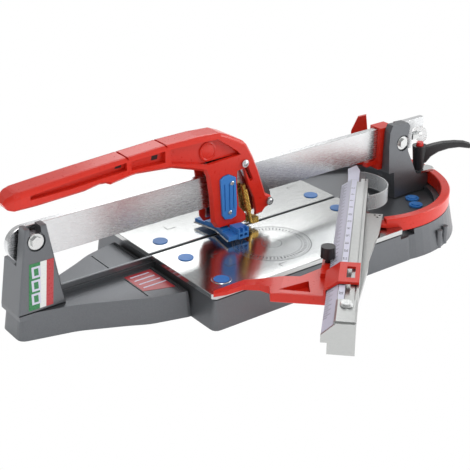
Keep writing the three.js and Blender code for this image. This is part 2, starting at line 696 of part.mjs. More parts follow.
function gussetPlate() {
  const points = [[100, 17.3], [100, 38], [145, 35], [224, 25], [251, 24.5], [325, 17.3]];
  const holes = [[104.5, 34], [104.5, 28], [110.5, 31.5]].map(([u, w]) => rodZ(u, w, 1.5, 40, 60, 16));
  return cut(prismZ(orient(points), 50, 56, 0.5), ...holes);
}

function fenceBar() {
  const low = FENCE_FOOT;
  const profile = [
    [17, low], [17, FENCE_HIGH], [14.5, FENCE_HIGH], [14.5, 72], [13, 72], [13, 74.6], [8, 74.6], [8, 70.5],
    [3, 70.5], [3, 73], [-4.2, 73], [-16.5, 64], [-16, 59], [-10, 58.6], [-10, low],
  ];
  return cut(
    prismX(orient(profile), FENCE_START, FENCE_END),
    box(FENCE_START - 1, 82, -8.3, 12.3, low - 1, 50.6),
  );
}

function scaleFace() {
  const rise = 9 / 12.3;
  const edge = 64 + 0.45;
  const points = [[-16.4, edge], [-4.3, edge + 12.1 * rise], [-4.3, edge + 12.1 * rise + 0.9], [-16.4, edge + 0.9]];
  return prismX(orient(points), FENCE_START + 4, FENCE_END - 2);
}

function numberStrip() {
  return box(FENCE_START + 4, FENCE_END - END_CAP_LENGTH - 3, -3.6, 2.8, 73 + FIT, 74.4);
}

function endCap() {
  const u = FENCE_END;
  const over = prismX(
    orient([[17.5, FENCE_HIGH + FIT], [17.5, 79.5], [15.5, 81], [-2.5, 81], [-4.6, 79.5], [-4.6, FENCE_HIGH + FIT]]),
    u - END_CAP_LENGTH,
    u,
  );
  const end = prismX(
    orient([[17.5, FENCE_FOOT], [17.5, 79.5], [-2.5, 79.5], [-16.5, 66], [-16.5, 58], [-10, 58], [-10, FENCE_FOOT]]),
    u + FIT,
    u + 3.5,
  );
  const link = box(u - 2, u + 2, -4, 17, FENCE_HIGH + FIT, 79.5);
  return cut(join(over, end, link), rodZ(...END_BOLT, 3 + FIT, 60, 90, 20));
}

function endCapBolt() {
  return join(rodZ(...END_BOLT, 3, 75.5, 82, 20), rodZ(...END_BOLT, 6.8, 81 + FIT, 84.6, 20, 5.6));
}

function swivelPlate() {
  const hub = rodZ(0, 0, 15, FENCE_FOOT + FIT, 50, 32);
  const tongue = box(0, 80, -8, 12, FENCE_FOOT + FIT, 50);
  return cut(join(hub, tongue), rodZ(0, 0, 6 + 0.08, 40, 60, 20));
}

function clearGuard() {
  const wall = sector(41.5, 43, 26, 186, 46, 66);
  const foot = box(25, 40.5, 17.6, 19.2, 52, 64);
  return cut(join(wall, foot).translate([30, 0, 0]), rodZ(0, 0, 15.6, 40, 50.5, 32), box(-20, 0, -20, 8, 40, 50.5));
}

function pointer() {
  const blade = [[33.4, -9], [16, -9.5], [-12, -11], [-27, 0], [-10, 5], [33.4, 5]];
  return join(prismZ(orient(blade), 67, 69.4, 0.4), box(26, 33.4, -7, 4, 50.6, 68));
}

function stopArm() {
  const arm = [
    [325, -137], [318, -138], [301, -120], [291, -108], [288, -80], [284, -48], [251, -18], [251, -11],
    [326, -11], [326, -76], [309, -79], [303, -90], [304, -107], [318, -123],
  ];
  const low = prismZ(orient(arm), 46.2, 58, 0.8);
  const relief = prismZ(orient([[295, -38], [320, -34], [318, -68]]), 51, 70);
  const fall = prismX(orient([[-145, 50], [-95, 53.5], [-62, 58.5], [-62, 70], [-145, 70]]), 240, 340);
  const saddle = prismX(
    orient([[-20, 56], [-20, 66.5], [-5, 78.5], [16.8, 78.5], [16.8, FENCE_HIGH + RUN], [7.6, FENCE_HIGH + RUN], [-3.5, FENCE_HIGH + RUN], [-17.6, 66.2], [-17.2, 58], [-11, 58], [-11, 56]]),
    STOP_START,
    STOP_START + STOP_LENGTH,
  );
  const ear = box(248, STOP_START + 2, -26, -17.1, 56, 63.5);
  return cut(
    join(low, saddle, ear),
    relief,
    fall,
    box(STOP_START + 10, STOP_START + STOP_LENGTH - 10, 3, 12, 70, 90),
    rodZ(257, -20, 3 + FIT, 50, 80, 20),
  );
}

function stopKnob() {
  let head = rodZ(257, -20, 8.5, 70, 83, 28, 8);
  for (let i = 0; i < 8; i++) {
    const a = (i / 8) * 2 * Math.PI;
    head = cut(head, rodZ(257 + 9.2 * Math.cos(a), -20 + 9.2 * Math.sin(a), 1.6, 64, 84, 6));
  }
  return join(head, rodZ(257, -20, 3, 52, 71, 20));
}

// ---------------------------------------------------------------- clamp
function clampStud() {
  return rodZ(CLAMP_X, CLAMP_Y, STUD_R, FLARE_TOP + 5, 78, 18);
}

function clampPlate() {
  const points = [[279, -12], [305, -16], [307, -24], [303, -31], [281, -29], [278.4, -20]];
  return cut(prismZ(orient(points), ARC_TOP + FIT, ARC_TOP + 3.3), rodZ(CLAMP_X, CLAMP_Y, STUD_R + FIT, 50, 62, 18));
}

function clampLever() {
  const hub = rodZ(0, 0, 7, ARC_TOP + 3.9, CLAMP_TOP, 32, 10);
  const arm = prismY(
    orient([
      [0, 90], [8, 91], [18, 94.2], [30, 97], [46, 98.2], [58, 97.6], [LEVER_LENGTH, 94.8], [LEVER_LENGTH + 1.5, 92],
      [LEVER_LENGTH - 1, 89.4], [52, 91], [38, 89], [25, 84.5], [15, 77.5], [9, 69], [0, 66],
    ]),
    -6,
    6,
    1.5,
  );
  const body = cut(join(hub, arm), rodZ(0, 0, STUD_R + FIT, 50, 78.5, 18), rodZ(0, 0, 5.3, 83, 100, 18));
  return body.rotate([0, 0, LEVER_ANGLE]).translate([CLAMP_X, CLAMP_Y, 0]);
}

function clampButton() {
  return rodZ(CLAMP_X, CLAMP_Y, 5, 86.8, 96.8, 28, 4.6);
}

// ---------------------------------------------------------------- assembly
const model = new THREE.Group();
const fence = new THREE.Group();
fence.position.set(SWIVEL_X, 0, 0);
fence.rotation.z = THREE.MathUtils.degToRad(FENCE_ANGLE);
model.add(fence);

model.add(mesh("base_casting", baseCasting(), GREY_PAINT));
model.add(mesh("tower_near", nearTower(), GREY_PAINT));
model.add(mesh("tower_far", farTower(), GREY_PAINT));
model.add(mesh("rail", rail(), CHROME));
model.add(mesh("breaker_bar", breakerBar(), CHROME));
model.add(mesh("rail_bolt_near", railBolt(...NEAR_BOLT), ZINC));
model.add(mesh("rail_bolt_far", railBolt(...FAR_BOLT), ZINC));
model.add(mesh("rail_adjuster", railAdjuster(), ZINC));
model.add(mesh("adjuster_knob", adjusterKnob(), CLEAR_PLASTIC));
model.add(mesh("rail_bumper", railBumper(), RED_PAINT));
model.add(mesh("lobe_plug_outer", lobePlug(251.8, -43.5), BLUE_PLASTIC));
model.add(mesh("lobe_plug_inner", lobePlug(239.8, -62), BLUE_PLASTIC));
model.add(mesh("swivel_post", swivelPost(), ZINC));
model.add(mesh("table_front", table(-1), ALUMINIUM));
model.add(mesh("table_rear", table(1), ALUMINIUM));
for (const [side, word] of [[-1, "front"], [1, "rear"]]) {
  plugPlaces(side).forEach((place, i) => model.add(mesh(`table_plug_${word}_${i + 1}`, tablePlug(place), BLUE_PLASTIC)));
}
bufferPlaces().forEach((place, i) => {
  const word = place[1] < 0 ? "front" : "rear";
  model.add(mesh(`table_buffer_${word}_${(i % 2) + 1}`, buffer(place), BLACK_RUBBER));
});
model.add(mesh("carriage_plate_front", carriagePlate(-1), ZINC));
model.add(mesh("carriage_plate_rear", carriagePlate(1), ZINC));
const pins = pinPlaces();
model.add(mesh("pin_high_near", shortPin(pins[0]), ZINC));
model.add(mesh("pin_high_far", shortPin(pins[1]), ZINC));
model.add(mesh("pin_low_near", shortPin(pins[2]), ZINC));
model.add(mesh("pin_pivot", pivotPin(), ZINC));
model.add(mesh("roller_high_near", roller(pins[0], HIGH_ROLLER_R), BLACK_PLASTIC));
model.add(mesh("roller_high_far", roller(pins[1], HIGH_ROLLER_R), BLACK_PLASTIC));
model.add(mesh("roller_low_near", roller(pins[2], LOW_ROLLER_R), BLACK_PLASTIC));
model.add(mesh("roller_low_far", roller(pins[3], LOW_ROLLER_R), BLACK_PLASTIC));
model.add(mesh("handle_casting", handleCasting(), RED_PAINT));
model.add(mesh("head_bolt", headBolt(), ZINC));
model.add(mesh("cartridge", cartridge(), BLUE_PLASTIC));
model.add(mesh("scoring_arm", scoringArm(), BRASS));
model.add(mesh("scoring_wheel", scoringWheel(), ZINC));
model.add(mesh("breaking_foot", breakingFoot(), BLUE_PLASTIC));
model.add(mesh("foot_strip_front", footStrip(-1), CHROME));
model.add(mesh("foot_strip_rear", footStrip(1), CHROME));
model.add(mesh("foot_bracket", footBracket(), ZINC));
model.add(mesh("clamp_stud", clampStud(), ZINC));
model.add(mesh("clamp_plate", clampPlate(), ZINC));
model.add(mesh("clamp_lever", clampLever(), BLACK_PLASTIC));
model.add(mesh("clamp_button", clampButton(), RED_PLASTIC));

fence.add(mesh("swivel_arc", swivelArc(), RED_PAINT));
fence.add(mesh("gusset_plate", gussetPlate(), ALUMINIUM));
fence.add(mesh("fence_bar", fenceBar(), ALUMINIUM));
fence.add(mesh("scale_face", scaleFace(), WHITE_PLASTIC));
fence.add(mesh("number_strip", numberStrip(), WHITE_PLASTIC));
fence.add(mesh("fence_end_cap", endCap(), ALUMINIUM));
fence.add(mesh("end_cap_bolt", endCapBolt(), ZINC));
fence.add(mesh("swivel_plate", swivelPlate(), ZINC));
fence.add(mesh("clear_guard", clearGuard(), CLEAR_PLASTIC));
fence.add(mesh("pointer", pointer(), WHITE_PLASTIC));
fence.add(mesh("stop_arm", stopArm(), RED_PAINT));
fence.add(mesh("stop_knob", stopKnob(), BLACK_PLASTIC));

export default model;
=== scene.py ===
import json
import math

import bmesh
import bpy
from mathutils import Matrix, Vector


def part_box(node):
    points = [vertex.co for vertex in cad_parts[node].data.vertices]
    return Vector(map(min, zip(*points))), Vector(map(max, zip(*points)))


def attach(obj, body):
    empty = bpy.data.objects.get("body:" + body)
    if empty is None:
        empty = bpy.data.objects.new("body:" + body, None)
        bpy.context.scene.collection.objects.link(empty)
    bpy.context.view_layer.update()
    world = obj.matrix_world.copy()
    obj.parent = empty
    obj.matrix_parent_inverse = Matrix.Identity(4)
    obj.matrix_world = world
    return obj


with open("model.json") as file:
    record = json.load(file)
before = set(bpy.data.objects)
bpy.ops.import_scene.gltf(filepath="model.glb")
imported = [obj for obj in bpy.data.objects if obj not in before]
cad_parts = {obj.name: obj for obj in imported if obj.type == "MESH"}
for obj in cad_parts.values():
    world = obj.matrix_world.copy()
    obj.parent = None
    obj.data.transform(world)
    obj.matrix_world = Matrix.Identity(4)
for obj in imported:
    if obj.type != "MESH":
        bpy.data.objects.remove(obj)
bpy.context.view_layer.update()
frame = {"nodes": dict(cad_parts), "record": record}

# ---- Satin grey enamel: the base casting and both towers.
# Sprayed metallic enamel over a die casting, with the fine grain of the casting left in it.


# sRGB hex to the linear colour the shaders take.
def colour(code):
    parts = [int(code[i : i + 2], 16) / 255 for i in (0, 2, 4)]
    return [c / 12.92 if c <= 0.04045 else ((c + 0.055) / 1.055) ** 2.4 for c in parts] + [1.0]


# Adds one shader node and sets the sockets that are named.
def add(tree, kind, sockets=None, **settings):
    made = tree.nodes.new(kind)
    for key, value in settings.items():
        setattr(made, key, value)
    for key, value in (sockets or {}).items():
        made.inputs[key].default_value = value
    return made


# Starts a material for a real finish, with a principled shader whose sockets are given.
def start_finish(name, sockets):
    material = bpy.data.materials.new(name)
    material.use_nodes = True
    tree = material.node_tree
    shader = tree.nodes["Principled BSDF"]
    for key, value in sockets.items():
        shader.inputs[key].default_value = value
    where = add(tree, "ShaderNodeTexCoord")
    return material, tree, shader, where


# Lets a noise in object space vary the roughness and the surface height, and drift the colour a little.
# per_metre is how many grains lie in a metre, so 900 makes a grain 1.1 mm wide.
# stretch multiplies that count along each axis.
def weather(tree, shader, where, stretch, per_metre, rough, bump, tint=None):
    relief = 0.0004
    mapping = add(tree, "ShaderNodeMapping", {"Scale": stretch})
    noise = add(tree, "ShaderNodeTexNoise", {"Scale": per_metre, "Detail": 6.0, "Roughness": 0.6})
    spread = add(tree, "ShaderNodeMapRange", {"To Min": rough[0], "To Max": rough[1]})
    height = add(tree, "ShaderNodeBump", {"Strength": bump, "Distance": relief})
    tree.links.new(where.outputs["Object"], mapping.inputs["Vector"])
    tree.links.new(mapping.outputs["Vector"], noise.inputs["Vector"])
    tree.links.new(noise.outputs["Fac"], spread.inputs["Value"])
    tree.links.new(spread.outputs["Result"], shader.inputs["Roughness"])
    tree.links.new(noise.outputs["Fac"], height.inputs["Height"])
    tree.links.new(height.outputs["Normal"], shader.inputs["Normal"])
    if tint:
        ramp = add(tree, "ShaderNodeMix", {}, data_type="RGBA")
        ramp.inputs[6].default_value = tint[0]
        ramp.inputs[7].default_value = tint[1]
        tree.links.new(noise.outputs["Fac"], ramp.inputs[0])
        tree.links.new(ramp.outputs[2], shader.inputs["Base Color"])


# A grain that is the same along all three axes.
EVEN = (1, 1, 1)

grey_enamel, tree, shader, where = start_finish(
    "satin_grey_enamel", {"Metallic": 0.8, "Specular IOR Level": 0.5}
)
weather(
    tree, shader, where, stretch=EVEN, per_metre=900.0, rough=(0.3, 0.46), bump=0.35,
    tint=(colour("5d5f63"), colour("777a7d")),
)

# ---- Glossy red enamel: the handle, the swivel arc, the stop and the bumper.
# Thick baked enamel over a die casting, slightly uneven like orange peel.
red_enamel, tree, shader, where = start_finish(
    "glossy_red_enamel", {"Specular IOR Level": 0.3, "Coat Weight": 0.12, "Coat Roughness": 0.1}
)
weather(
    tree, shader, where, stretch=EVEN, per_metre=260.0, rough=(0.24, 0.34), bump=0.12,
    tint=(colour("c22012"), colour("d32d1b")),
)

# ---- Hard chrome: the rail, the foot's edge strips and the two domed caps.
# Ground lengthwise before it is plated, so faint streaks run along it.
chrome, tree, shader, where = start_finish(
    "ground_hard_chrome", {"Metallic": 1.0, "Base Color": colour("d6d8d9")}
)
weather(
    tree, shader, where, stretch=(5, 60, 110), per_metre=30.0, rough=(0.16, 0.36), bump=0.08,
    tint=(colour("a4a6a8"), colour("f2f3f4")),
)

# ---- Satin aluminium: the fence, its gusset and its end cap.
# Extruded and left with its drawing lines, duller than the tables.
satin_aluminium, tree, shader, where = start_finish("drawn_satin_aluminium", {"Metallic": 1.0})
weather(
    tree, shader, where, stretch=(12, 12, 120), per_metre=18.0, rough=(0.3, 0.46), bump=0.1,
    tint=(colour("a6a8a8"), colour("bcbdbb")),
)

# ---- Bright zinc: bolts, pins, plates and the scoring wheel.
# Thin plating over turned and pressed steel, a little cloudy where it has been handled.
zinc, tree, shader, where = start_finish("bright_zinc_plate", {"Metallic": 1.0})
weather(
    tree, shader, where, stretch=EVEN, per_metre=420.0, rough=(0.16, 0.32), bump=0.08,
    tint=(colour("bcbebf"), colour("d6d7d5")),
)

# ---- Ground tool steel: the breaker bar that the tile is snapped over.
# Ground lengthwise and lightly oiled, so it is a shade darker than the rail and has fine lines along it.
dark_steel, tree, shader, where = start_finish("dark_ground_steel", {"Metallic": 1.0})
weather(
    tree, shader, where, stretch=(4, 60, 60), per_metre=60.0, rough=(0.3, 0.45), bump=0.06,
    tint=(colour("7c7e81"), colour("9b9da0")),
)

# ---- Gold coloured plating: the scoring arm and its spring.
# Passivated zinc with a yellow tint, slightly uneven in gloss.
brass, tree, shader, where = start_finish("gold_coloured_plate", {"Metallic": 1.0})
weather(
    tree, shader, where, stretch=EVEN, per_metre=380.0, rough=(0.2, 0.34), bump=0.08,
    tint=(colour("c69a48"), colour("dcb766")),
)

# ---- Blue moulding: plugs, foot and cartridge.
# Filled nylon with the fine spark grain of its mould.
blue, tree, shader, where = start_finish("satin_blue_moulding", {"Specular IOR Level": 0.5})
weather(
    tree, shader, where, stretch=EVEN, per_metre=700.0, rough=(0.3, 0.42), bump=0.15,
    tint=(colour("2569b6"), colour("3c82c8")),
)

# ---- Black moulding: rollers, clamp lever and stop knob.
# Filled nylon too, grained all over and a little shiny where a hand holds it.
black, tree, shader, where = start_finish("satin_black_moulding", {"Specular IOR Level": 0.5})
weather(
    tree, shader, where, stretch=EVEN, per_metre=800.0, rough=(0.34, 0.5), bump=0.2,
    tint=(colour("17181a"), colour("222326")),
)

# ---- Red moulding: the clamp's button.
# Smooth glossy cap, brighter than the enamel.
red_button, tree, shader, where = start_finish("glossy_red_moulding", {"Coat Weight": 0.3})
weather(
    tree, shader, where, stretch=EVEN, per_metre=500.0, rough=(0.2, 0.3), bump=0.06,
    tint=(colour("d21f1d"), colour("e02c24")),
)

# ---- White strip: the printed scales and the pointer.
# Pale, faintly lilac plastic with an even satin surface.
white, tree, shader, where = start_finish("lilac_white_strip", {"Specular IOR Level": 0.5})
weather(
    tree, shader, where, stretch=EVEN, per_metre=600.0, rough=(0.35, 0.45), bump=0.05,
    tint=(colour("bdbdd0"), colour("cfcfdd")),
)

# ---- Black rubber: the buffers under the tables.
# Dull and dusty, with no highlight to speak of.
rubber, tree, shader, where = start_finish("black_rubber", {})
weather(
    tree, shader, where, stretch=EVEN, per_metre=900.0, rough=(0.7, 0.9), bump=0.3,
    tint=(colour("141414"), colour("1e1e1e")),
)

# ---- Clear polycarbonate: the round guard at the fence's inner end and the rail adjuster's knob.
# Water clear when looked through squarely, and whiter towards glancing views, where its white colour shows
# through more as a painted reflection of the bright room.
clear, tree, shader, where = start_finish(
    "clear_polycarbonate", {"Base Color": colour("f1f4f5"), "Specular IOR Level": 0.8}
)
weather(tree, shader, where, stretch=EVEN, per_metre=40.0, rough=(0.05, 0.14), bump=0.03)
# Painted reflection: the white surface grows more opaque from square-on to glancing views, in place of the
# plastic's own reflection.
reflection_square_on, reflection_edge_on = 0.1, 0.8
edge = add(tree, "ShaderNodeLayerWeight", {"Blend": 0.4})
painted_reflection = add(tree, "ShaderNodeMapRange", {"To Min": reflection_square_on, "To Max": reflection_edge_on})
tree.links.new(edge.outputs["Facing"], painted_reflection.inputs["Value"])
tree.links.new(painted_reflection.outputs["Result"], shader.inputs["Alpha"])

# ---- Ground aluminium tables with a degree ring cut into the front one.
# The metal is ground along the rail, and the ring is dull because it is etched below the polish.
ring_centre = (-0.0017, -0.061, 0.0)
ring_ticks = 60.0
tick_threshold = 0.35
etched_grey = "6f7275"
etched_roughness = 0.6
# Each band of the ring: its middle radius, half its width, and whether it is broken into ticks.
ring_bands = (
    (0.0470, 0.0005, False),
    (0.0446, 0.0003, False),
    (0.0402, 0.0021, True),
    (0.0360, 0.0003, False),
    (0.0120, 0.0003, False),
)
table_metal, tree, shader, where = start_finish("ground_table_aluminium", {"Metallic": 1.0})
weather(
    tree, shader, where, stretch=(3, 60, 60), per_metre=26.0, rough=(0.1, 0.24), bump=0.05,
    tint=(colour("b4b6b6"), colour("c7c9c8")),
)
centre = add(tree, "ShaderNodeVectorMath", operation="SUBTRACT")
centre.inputs[1].default_value = ring_centre
flat = add(tree, "ShaderNodeVectorMath", operation="MULTIPLY")
flat.inputs[1].default_value = (1.0, 1.0, 0.0)
radius = add(tree, "ShaderNodeVectorMath", operation="LENGTH")
tree.links.new(where.outputs["Object"], centre.inputs[0])
tree.links.new(centre.outputs[0], flat.inputs[0])
tree.links.new(flat.outputs[0], radius.inputs[0])
split = add(tree, "ShaderNodeSeparateXYZ")
angle = add(tree, "ShaderNodeMath", operation="ARCTAN2")
tree.links.new(flat.outputs[0], split.inputs[0])
tree.links.new(split.outputs["Y"], angle.inputs[0])
tree.links.new(split.outputs["X"], angle.inputs[1])
ticks = add(tree, "ShaderNodeMath", operation="MULTIPLY")
ticks.inputs[1].default_value = ring_ticks
wave = add(tree, "ShaderNodeMath", operation="SINE")
tall = add(tree, "ShaderNodeMath", operation="GREATER_THAN")
tall.inputs[1].default_value = tick_threshold
tree.links.new(angle.outputs[0], ticks.inputs[0])
tree.links.new(ticks.outputs[0], wave.inputs[0])
tree.links.new(wave.outputs[0], tall.inputs[0])
marks = None
for middle, half, ticked in ring_bands:
    band = add(tree, "ShaderNodeMath", operation="COMPARE")
    band.inputs[1].default_value = middle
    band.inputs[2].default_value = half
    tree.links.new(radius.outputs["Value"], band.inputs[0])
    if ticked:
        both = add(tree, "ShaderNodeMath", operation="MULTIPLY")
        tree.links.new(band.outputs[0], both.inputs[0])
        tree.links.new(tall.outputs[0], both.inputs[1])
        band = both
    if marks is not None:
        both = add(tree, "ShaderNodeMath", operation="MAXIMUM")
        tree.links.new(marks.outputs[0], both.inputs[0])
        tree.links.new(band.outputs[0], both.inputs[1])
        band = both
    marks = band
etched = add(tree, "ShaderNodeMix", {}, data_type="RGBA")
etched.inputs[7].default_value = colour(etched_grey)
for link in list(shader.inputs["Base Color"].links):
    tree.links.new(link.from_socket, etched.inputs[6])
tree.links.new(marks.outputs[0], etched.inputs[0])
tree.links.new(etched.outputs[2], shader.inputs["Base Color"])
dull = add(tree, "ShaderNodeMath", operation="MAXIMUM")
scaled = add(tree, "ShaderNodeMath", operation="MULTIPLY")
scaled.inputs[1].default_value = etched_roughness
tree.links.new(marks.outputs[0], scaled.inputs[0])
for link in list(shader.inputs["Roughness"].links):
    tree.links.new(link.from_socket, dull.inputs[0])
tree.links.new(scaled.outputs[0], dull.inputs[1])
tree.links.new(dull.outputs[0], shader.inputs["Roughness"])

# ---- The machined parts take their finishes, and their corners are eased by a fraction of a millimetre.
# Every part's finish follows its slot in the record; the tables have a finish of their own.
finishes = {
    "grey_paint": grey_enamel,
    "red_enamel": red_enamel,
    "chrome": chrome,
    "aluminium": satin_aluminium,
    "zinc": zinc,
    "dark_steel": dark_steel,
    "brass": brass,
    "blue_plastic": blue,
    "black_plastic": black,
    "red_plastic": red_button,
    "white_plastic": white,
    "clear_plastic": clear,
    "black_rubber": rubber,
}
tables = ("table_front", "table_rear")
thick_castings = (
    "base_casting", "tower_near", "tower_far", "handle_casting", "swivel_arc", "stop_arm", "clamp_lever",
)
thick_ease, thick_segments = 0.0012, 3
fine_ease, fine_segments = 0.00035, 2
node_crease = math.radians(32)
eased_from = math.radians(34)
slots = {entry["node"]: entry["material_slot"] for entry in frame["record"]["subparts"]}
for name, node in frame["nodes"].items():
    finish = table_metal if name in tables else finishes[slots[name]]
    node.data.materials.clear()
    node.data.materials.append(finish)
    node.data.shade_smooth()
    node.data.set_sharp_from_angle(angle=node_crease)
    ease = node.modifiers.new("eased_corners", "BEVEL")
    thick = name in thick_castings
    ease.width = thick_ease if thick else fine_ease
    ease.segments = thick_segments if thick else fine_segments
    ease.limit_method = "ANGLE"
    ease.angle_limit = eased_from
    ease.use_clamp_overlap = True
    ease.harden_normals = True

# ---- Near tower's sticker: three slanting stripes of plain colour with three pale frames down them.
# Thin printed film on the tower's front face, smooth and lightly glossy.


# Makes a mesh piece out of a bmesh, gives it its finish and slot, and lets it ride on a body.
def settle(name, mesh, finish, body, matrix=None):
    data = bpy.data.meshes.new(name)
    bmesh.ops.recalc_face_normals(mesh, faces=mesh.faces)
    mesh.to_mesh(data)
    mesh.free()
    made = bpy.data.objects.new(name, data)
    bpy.context.collection.objects.link(made)
    if matrix is not None:
        data.transform(matrix)
    data.materials.append(finish)
    data.shade_smooth()
    data.set_sharp_from_angle(angle=math.radians(35))
    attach(made, body)


# Adds to a bmesh a plate: a flat outline given a thickness along +Z.
def plate(mesh, outline, low, high):
    below = [mesh.verts.new((x, y, low)) for x, y in outline]
    above = [mesh.verts.new((x, y, high)) for x, y in outline]
    mesh.faces.new(below[::-1])
    mesh.faces.new(above)
    for i in range(len(outline)):
        j = (i + 1) % len(outline)
        mesh.faces.new((below[i], below[j], above[j], above[i]))


# Each stripe: its name, its colour and its width.
stripes = (
    ("green_film", "2c7a47", 0.0130),
    ("white_film", "d9dcd9", 0.0075),
    ("red_film", "b0353a", 0.0085),
)
stripe_inset = 0.012
stripe_low, stripe_high = 0.034, 0.088
stripe_lean = 0.005
film_thick = 0.0002
film_gap = 0.00005
face_front = Matrix.Rotation(math.radians(90), 4, "X")
tower_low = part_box("tower_near")[0]
upright = Matrix.Translation((0, tower_low[1] - film_gap, 0)) @ face_front
x = tower_low[0] + stripe_inset
for label, code, wide in stripes:
    film, tree, shader, where = start_finish(label, {"Base Color": colour(code)})
    weather(tree, shader, where, stretch=EVEN, per_metre=500.0, rough=(0.22, 0.34), bump=0.04)
    mesh = bmesh.new()
    stripe = [
        (x, stripe_low),
        (x + wide, stripe_low),
        (x + wide + stripe_lean, stripe_high),
        (x + stripe_lean, stripe_high),
    ]
    plate(mesh, stripe, 0.0, film_thick)
    settle("tower_stripe_" + label, mesh, film, "base", upright)
    x += wide
frame_wide, frame_high = 0.0105, 0.013
post_wide, bar_high = 0.0026, 0.0024
frame_inset, frame_lowest = 0.0165, 0.040
frame_step_across, frame_step_up = 0.0013, 0.0155
frame_front = 0.00035
# Each frame is a bar below, a bar above and a post at each side: from x to x, and from height to height.
frame_strips = (
    (0, frame_wide, 0, bar_high),
    (0, frame_wide, frame_high - bar_high, frame_high),
    (0, post_wide, bar_high, frame_high - bar_high),
    (frame_wide - post_wide, frame_wide, bar_high, frame_high - bar_high),
)
mesh = bmesh.new()
for i in range(3):
    left = tower_low[0] + frame_inset + frame_step_across * i
    low = frame_lowest + frame_step_up * i
    for x0, x1, z0, z1 in frame_strips:
        strip = [(left + x0, low + z0), (left + x1, low + z0), (left + x1, low + z1), (left + x0, low + z1)]
        plate(mesh, strip, film_thick, frame_front)
settle("tower_stripe_frames", mesh, white, "base", upright)

# ---- Red label on the near flare, with lighter bars where a real one is printed.
# Thin film on the casting, between the line of the rail and the tables.
label_red, tree, shader, where = start_finish("dark_red_film", {"Base Color": colour("a3202a")})
weather(tree, shader, where, stretch=EVEN, per_metre=500.0, rough=(0.25, 0.36), bump=0.04)
label_low, label_high, bars_high = 0.0301, 0.0303, 0.0304
label_near, label_far, label_back = -0.1755, -0.1405, -0.009
label_outline = [(label_near, -0.05), (label_far, -0.062), (label_far, label_back), (label_near, label_back)]
mesh = bmesh.new()
plate(mesh, label_outline, label_low, label_high)
settle("flare_label", mesh, label_red, "base")
bar_thick, bar_pitch, bar_first = 0.0022, 0.0095, -0.014
bar_start, bar_end, bar_growth = -0.171, -0.146, 0.0016
mesh = bmesh.new()
for i in range(4):
    y = bar_first - bar_pitch * i
    far = bar_end + bar_growth * i
    bar = [(bar_start, y - bar_thick), (far, y - bar_thick), (far, y), (bar_start, y)]
    plate(mesh, bar, label_high, bars_high)
settle("flare_label_bars", mesh, white, "base")

# ---- Screws: a pair on the cartridge, one near each end.
# Turned heads with a round recess, standing a millimetre proud of what they hold.


# Adds to a bmesh a turned shape about +Z from (radius, height) pairs.
# The pairs start and end on the axis, or close on themselves.
def turned(mesh, profile, steps=32, where=(0, 0)):
    rings = []
    for r, z in profile:
        if r < 1e-9:
            rings.append([mesh.verts.new((where[0], where[1], z))])
        else:
            angles = [2 * math.pi * i / steps for i in range(steps)]
            rings.append([
                mesh.verts.new((where[0] + r * math.cos(a), where[1] + r * math.sin(a), z)) for a in angles
            ])
    for a, b in zip(rings, rings[1:]):
        for i in range(steps):
            j = (i + 1) % steps
            corners = [a[i % len(a)], a[j % len(a)], b[j % len(b)], b[i % len(b)]]
            kept = [c for k, c in enumerate(corners) if c not in corners[:k]]
            if len(kept) > 2:
                mesh.faces.new(kept)


screw_places = ((-0.0285, 0.1135), (-0.0315, 0.0765))
screw_head = [(0, 0), (0.0026, 0), (0.0026, 0.0006), (0.0019, 0.0010), (0.0019, 0.0004), (0, 0.0004)]
cartridge_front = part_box("cartridge")[0][1]
for i, (x, z) in enumerate(screw_places):
    mesh = bmesh.new()
    turned(mesh, screw_head, 24)
    facing = Matrix.Translation((x, cartridge_front, z)) @ face_front
    settle("cartridge_screw_%d" % (i + 1), mesh, zinc, "handle", facing)

# ---- Domed caps on the pivot pin and on the bolt high in the head.
# Turned steel with a bright face, seen from the front.
cap_profile = [
    (0, -0.0004), (0.0036, -0.0004), (0.0036, 0.0003), (0.0026, 0.0010), (0.0012, 0.0014), (0, 0.0015),
]
# Each cap: its name, its place along and up, the piece whose front face it stands on, and its body.
caps = (
    ("pivot_cap", 0.029, 0.07565, "pin_pivot", "carriage"),
    ("bolt_cap", -0.0085, 0.1335, "head_bolt", "handle"),
)
for name, x, z, under, body in caps:
    mesh = bmesh.new()
    turned(mesh, cap_profile, 32)
    facing = Matrix.Translation((x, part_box(under)[0][1], z)) @ face_front
    settle(name, mesh, chrome, body, facing)

# ---- Bright ring round the front table's outer plug.
# A pressed washer let into the table round the blue moulding.
ring_place = (-0.1046, -0.1008)
ring_inner, ring_outer, ring_lip = 0.0094, 0.0112, 0.0116
ring_low, ring_middle, ring_top = 0.0440, 0.0443, 0.0447
ring_profile = [
    (ring_inner, ring_low), (ring_outer, ring_low), (ring_lip, ring_middle),
    (ring_outer, ring_top), (ring_inner, ring_top), (ring_inner, ring_low),
]
mesh = bmesh.new()
turned(mesh, ring_profile, 40, ring_place)
settle("plug_ring", mesh, zinc, "table_front_unit")

# ---- Guide marks on the tables: five short bent lines on each.
# Dark paint on the metal, a twentieth of a millimetre thick.
mark_paint, tree, shader, where = start_finish("dark_mark_paint", {"Base Color": colour("3a3c40")})
weather(tree, shader, where, stretch=EVEN, per_metre=400.0, rough=(0.4, 0.55), bump=0.03)
table_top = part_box("table_front")[1][2]
paint_top = table_top + 0.00005
mark_long, mark_short, line_wide = 0.012, 0.007, 0.0009
